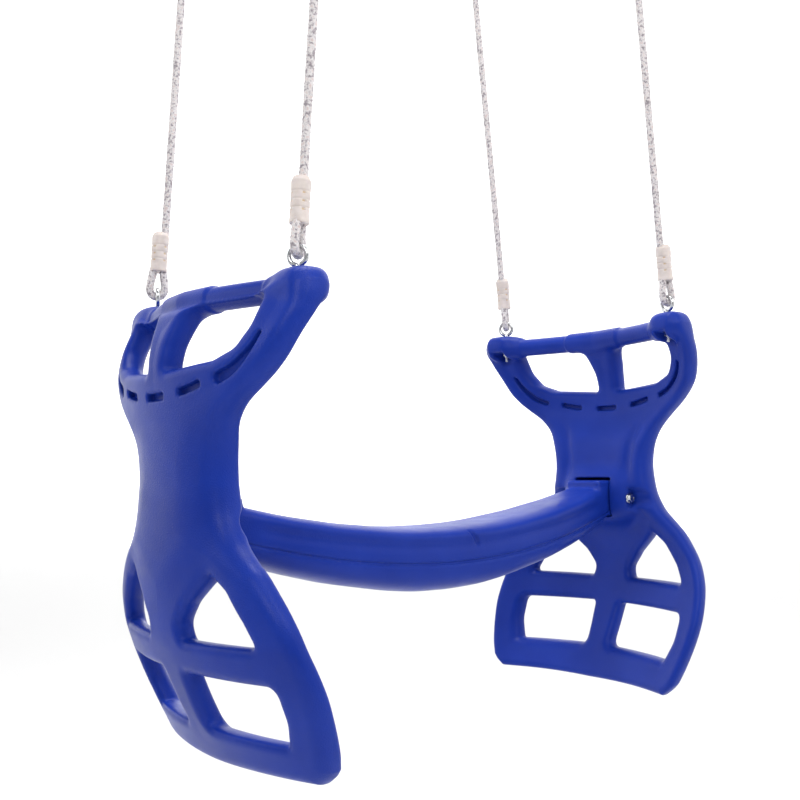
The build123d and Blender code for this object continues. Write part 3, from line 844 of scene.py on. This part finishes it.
def rope_ends(side, across):
    """Points in metres where the rope's middle line meets the eye wire and the ring wire."""
    rise = EYE_RISE + EYE_MEAN_R
    low = Vector((side * EYE_X, across * EYE_Y, world_z(0) + rise)) * MM
    fall = HANG_DROP - rise - RING_MEAN_R
    return low, low + Vector((-side * ROPE_LEAN * fall, 0, fall)) * MM


def spline_points(name, points):
    """Points read from a NURBS spline that has these control points."""
    curve = bpy.data.curves.new(name, "CURVE")
    curve.dimensions = "3D"
    spline = curve.splines.new("NURBS")
    spline.points.add(len(points) - 1)
    for place, point in zip(spline.points, points):
        place.co = (*point, 1)
    spline.order_u = 3
    spline.use_endpoint_u = True
    spline.resolution_u = 60
    obj = bpy.data.objects.new(name, curve)
    mesh = bpy.data.meshes.new_from_object(obj)
    line = np.array([v.co[:] for v in mesh.vertices])
    bpy.data.objects.remove(obj)
    bpy.data.curves.remove(curve)
    bpy.data.meshes.remove(mesh)
    return line


def evenly(line, step):
    """The line's points respaced at an even step."""
    along = np.concatenate([[0], np.cumsum(np.linalg.norm(np.diff(line, axis=0), axis=1))])
    places = np.linspace(0, along[-1], int(along[-1] / step) + 1)
    return np.stack([np.interp(places, along, line[:, k]) for k in range(3)], 1)


def braid(count, step, around):
    """Radii in mm of a plaited rope: two families of strands passing over and under."""
    along = (np.arange(count) * step)[:, None]
    angles = (np.arange(around) / around)[None]
    strands, pitch = 6, 30.0
    a = strands * (angles + along / pitch)
    b = strands * (angles - along / pitch)
    crown_a = np.sqrt(np.maximum(0, 1 - (2 * (a % 1) - 1) ** 2))
    crown_b = np.sqrt(np.maximum(0, 1 - (2 * (b % 1) - 1) ** 2))
    over_a = crown_a * (0.72 + 0.28 * np.cos(math.pi * (np.floor(a) + b - 0.5)))
    over_b = crown_b * (0.72 - 0.28 * np.cos(math.pi * (np.floor(b) + a - 0.5)))
    swell = 0.12 * np.sin(along / 23.0) + 0.08 * np.sin(along / 7.1 + 1.0)
    return ROPE_R - 1.35 + 1.5 * np.maximum(over_a, over_b) + swell


def held(away, start):
    """1 where a sleeve that starts so far from the wire holds the rope, fading out at its ends."""
    end = start + FERRULE_LENGTH
    return smooth_step(away, start - 1, start + 5) * (1 - smooth_step(away, end - 6, end))


def ropes(fibre, plastic, tan, steel):
    """The four ropes with their sleeves and top rings."""
    for side_name, side in SIDES.items():
        body = f"{side_name}_ropes"
        for across_name, across in ACROSS.items():
            corner = f"{side_name}_{across_name}"
            low, high = rope_ends(side, across)
            loop_out, up = rope_axes(side, math.radians(EYE_TURNS[corner]))
            top_out, up = rope_axes(side, 0.0)
            route = [low + loop_out * out + up * rise for out, rise in LOWER_ROUTE]
            route += [high + top_out * out - up * fall for out, fall in UPPER_ROUTE]
            line = evenly(spline_points(f"route_{corner}", route), ROPE_STEP)
            first = np.cross(np.array(up), np.array(top_out))
            rise = (line - np.array(low)) @ np.array(up) / MM
            fall = (np.array(high) - line) @ np.array(up) / MM
            grip = held(rise, LOWER_FERRULE_RISE) + held(fall, UPPER_FERRULE_FALL)
            radius = braid(len(line), ROPE_STEP / MM, ROPE_AROUND) * (1 - ROPE_SQUEEZE * grip[:, None])
            points, faces = tube(line / MM, first, radius, ROPE_AROUND)
            rope = mesh_piece(f"braided_rope_{corner}", points, faces, fibre, body)
            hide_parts(f"rope_{corner}")
            for level, end, out, start, flip in (
                    ("lower", low, loop_out, LOWER_FERRULE_RISE, 1),
                    ("upper", high, top_out, -UPPER_FERRULE_FALL, -1)):
                origin = np.array(end) / MM + start * np.array(up)
                sleeve = rope_sleeve(f"{level}_sleeve_{corner}", origin, np.array(up) * flip,
                                     np.array(out), plastic, tan, body)
                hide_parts(f"{level}_ferrule_{corner}")
            top_ring(corner, steel)


def rope_sleeve(name, origin, axis, out, plastic, tan, body):
    """Moulded sleeve: cone shoulder, three rows of notches with waists, plain skirt and lip."""
    around, rows = 72, 115
    heights = np.linspace(0, FERRULE_LENGTH, rows)
    angles = np.arange(around) * 2 * math.pi / around
    outline = np.interp(heights, SLEEVE_HEIGHTS, SLEEVE_RADII)
    radius = np.repeat(outline[:, None], around, 1)
    notch = np.zeros((rows, around))
    for row in NOTCH_ROWS:
        waist = np.exp(-(((heights - row - 4.6) / 1.1) ** 2))
        radius -= 0.7 * waist[:, None]
        for quarter in range(4):
            centre = math.radians(45 + 90 * quarter)
            swing = np.abs((angles - centre + math.pi) % (2 * math.pi) - math.pi) * 11.9
            box = np.maximum(swing[None] - 2.4, np.abs(heights[:, None] - row - 2.2) - 1.3)
            notch = np.maximum(notch, np.clip(1 - box / 0.6, 0, 1) * (box < 0.6))
    radius -= 1.5 * np.clip(notch, 0, 1)
    side = out - axis * (out @ axis)
    side = side / np.linalg.norm(side)
    turned = np.cross(axis, side)
    ring = np.cos(angles)[:, None] * side + np.sin(angles)[:, None] * turned
    points = (origin + heights[:, None, None] * axis + radius[:, :, None] * ring[None]).reshape(-1, 3)
    faces = grid_faces(rows, around)
    marks = [notch.reshape(-1)[list(f)].min() > 0.6 for f in faces]
    count = len(points)
    points = np.vstack([points, origin + 1.0 * axis, origin + (FERRULE_LENGTH - 0.2) * axis])
    for c in range(around):
        d = (c + 1) % around
        faces += [(count, d, c), (count + 1, count - around + c, count - around + d)]
    if side @ np.cross(turned, axis) < 0:
        faces = [f[::-1] for f in faces]
    sleeve = mesh_piece(name, points, faces, plastic, body)
    sleeve.data.materials.append(tan)
    for polygon, mark in zip(sleeve.data.polygons, marks):
        polygon.material_index = 1 if mark else 0
    return sleeve


def top_ring(corner, steel):
    """Welded steel ring that the rope's upper loop hangs in."""
    low, high = (np.array(p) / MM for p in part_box(f"hang_ring_{corner}"))
    centre = (low + high) / 2
    angles = np.linspace(0, 2 * math.pi, RING_STEPS, endpoint=False)
    wire_angles = np.linspace(0, 2 * math.pi, RING_WIRE_STEPS, endpoint=False)
    bead = 0.5 * np.exp(-(((angles - 0.5) / 0.09) ** 2)) * (1 + 0.4 * np.sin(40 * angles))
    points = []
    for angle, extra in zip(angles, bead):
        spoke = np.array([0, math.cos(angle), math.sin(angle)])
        wire = RING_WIRE_R - 0.1 + 0.2 * extra
        for t in wire_angles:
            sideways = np.array([1, 0, 0]) * wire * math.sin(t)
            points.append(centre + spoke * (RING_MEAN_R + wire * math.cos(t)) + sideways)
    count = len(points)
    faces = [tuple(i % count for i in f) for f in grid_faces(RING_STEPS + 1, RING_WIRE_STEPS)]
    ring = mesh_piece(f"welded_ring_{corner}", points, faces, steel, "hangers")
    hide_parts(f"hang_ring_{corner}")


# ---------------------------------------------------------------- camera, light and floor
def camera():
    """Camera at the photograph's viewpoint."""
    data = bpy.data.cameras.new("camera")
    data.sensor_width = 36.0
    data.lens = CAMERA_LENS
    data.clip_end = 60
    yaw, pitch, roll = (math.radians(a) for a in CAMERA_TURNS)
    forward = Vector((math.sin(yaw) * math.cos(pitch), math.cos(yaw) * math.cos(pitch), math.sin(pitch)))
    right = Vector((math.cos(yaw), -math.sin(yaw), 0))
    up = right.cross(forward)
    right, up = right * math.cos(roll) + up * math.sin(roll), up * math.cos(roll) - right * math.sin(roll)
    matrix = Matrix((right, up, -forward)).transposed().to_4x4()
    matrix.translation = Vector((CAMERA_X, CAMERA_Y, world_z(CAMERA_DROP) * MM))
    obj = bpy.data.objects.new("camera", data)
    obj.matrix_world = matrix
    bpy.context.scene.collection.objects.link(obj)
    bpy.context.scene.camera = obj


def area_light(name, place, target, size, power):
    data = bpy.data.lights.new(name, "AREA")
    data.size = size
    data.energy = power
    obj = bpy.data.objects.new(name, data)
    obj.location = place
    obj.rotation_euler = (Vector(target) - Vector(place)).to_track_quat("-Z", "Y").to_euler()
    bpy.context.scene.collection.objects.link(obj)


def backdrop(floor_z):
    """White lit wall round the far side of the floor."""
    points, faces = [], []
    for step in range(WALL_STEPS + 1):
        angle = math.radians(WALL_START + WALL_TURN * step)
        x, y = WALL_REACH * math.cos(angle), WALL_REACH * math.sin(angle)
        points += [(x, y, floor_z - 0.05), (x, y, floor_z + WALL_TALL)]
    for step in range(WALL_STEPS):
        faces.append((2 * step, 2 * step + 2, 2 * step + 3, 2 * step + 1))
    mesh = bpy.data.meshes.new("backdrop")
    mesh.from_pydata(points, [], faces)
    material, _, shader = node_material("backdrop")
    shader.inputs["Base Color"].default_value = (0.9, 0.9, 0.9, 1)
    shader.inputs["Emission Color"].default_value = (1, 1, 1, 1)
    shader.inputs["Emission Strength"].default_value = 0.75
    mesh.materials.append(material)
    wall = bpy.data.objects.new("backdrop", mesh)
    bpy.context.scene.collection.objects.link(wall)


def studio():
    """Pale floor, white surroundings and soft lights."""
    scene = bpy.context.scene
    scene.view_settings.view_transform = "Standard"
    scene.view_settings.look = "None"
    low, high = CAD_BOX
    world = bpy.data.worlds.new("studio")
    world.use_nodes = True
    world.node_tree.nodes["Background"].inputs["Color"].default_value = (1, 1, 1, 1)
    world.node_tree.nodes["Background"].inputs["Strength"].default_value = 0.36
    scene.world = world
    middle = [(a + b) / 2 for a, b in zip(low, high)]
    floor_z = low[2] - FLOOR_FALL
    mesh = bpy.data.meshes.new("floor")
    corners = [(-1, -1), (1, -1), (1, 1), (-1, 1)]
    mesh.from_pydata([(x * FLOOR_REACH, y * FLOOR_REACH, floor_z) for x, y in corners], [], [(0, 1, 2, 3)])
    floor = bpy.data.objects.new("floor", mesh)
    material, _, shader = node_material("floor")
    shader.inputs["Base Color"].default_value = (0.82, 0.82, 0.82, 1)
    shader.inputs["Roughness"].default_value = 0.9
    mesh.materials.append(material)
    scene.collection.objects.link(floor)
    backdrop(floor_z)
    target = (middle[0], middle[1], low[2] + 0.35)
    area_light("key", (-1.9, -1.9, 0.6), (-0.4, 0, low[2] + 0.55), 0.9, 24)
    area_light("near", (0.1, -1.9, 0.5), (0.4, 0, low[2] + 0.55), 0.9, 17)
    area_light("top", (0.1, 0.1, 1.5), target, 1.5, 60)
    area_light("left", (-2.4, 0.7, 0.3), target, 1.0, 9)
    area_light("far_floor", (3.4, 3.5, floor_z + 4.5), (3.4, 3.5, floor_z), 5.0, 75)


def main():
    blue = blue_plastic("blue_plastic")
    blue_seat = blue_plastic("blue_plastic_seat", with_parting_line=True)
    fibre = rope_fibre()
    cream = sleeve_plastic("sleeve_plastic", [(0.60, 0.53, 0.50), (0.68, 0.61, 0.58)])
    tan = sleeve_plastic("sleeve_notch", [(0.52, 0.38, 0.25), (0.62, 0.47, 0.33)])
    steel = zinc_steel()
    camera()
    ropes(fibre, cream, tan, steel)
    end_panels(blue)
    seat(blue_seat)
    eye_bolts(steel)
    seat_bolts(steel)
    for side_name in SIDES:
        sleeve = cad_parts[f"seat_sleeve_{side_name}"]
        sleeve.data.materials.clear()
        sleeve.data.materials.append(steel)
    studio()


main()
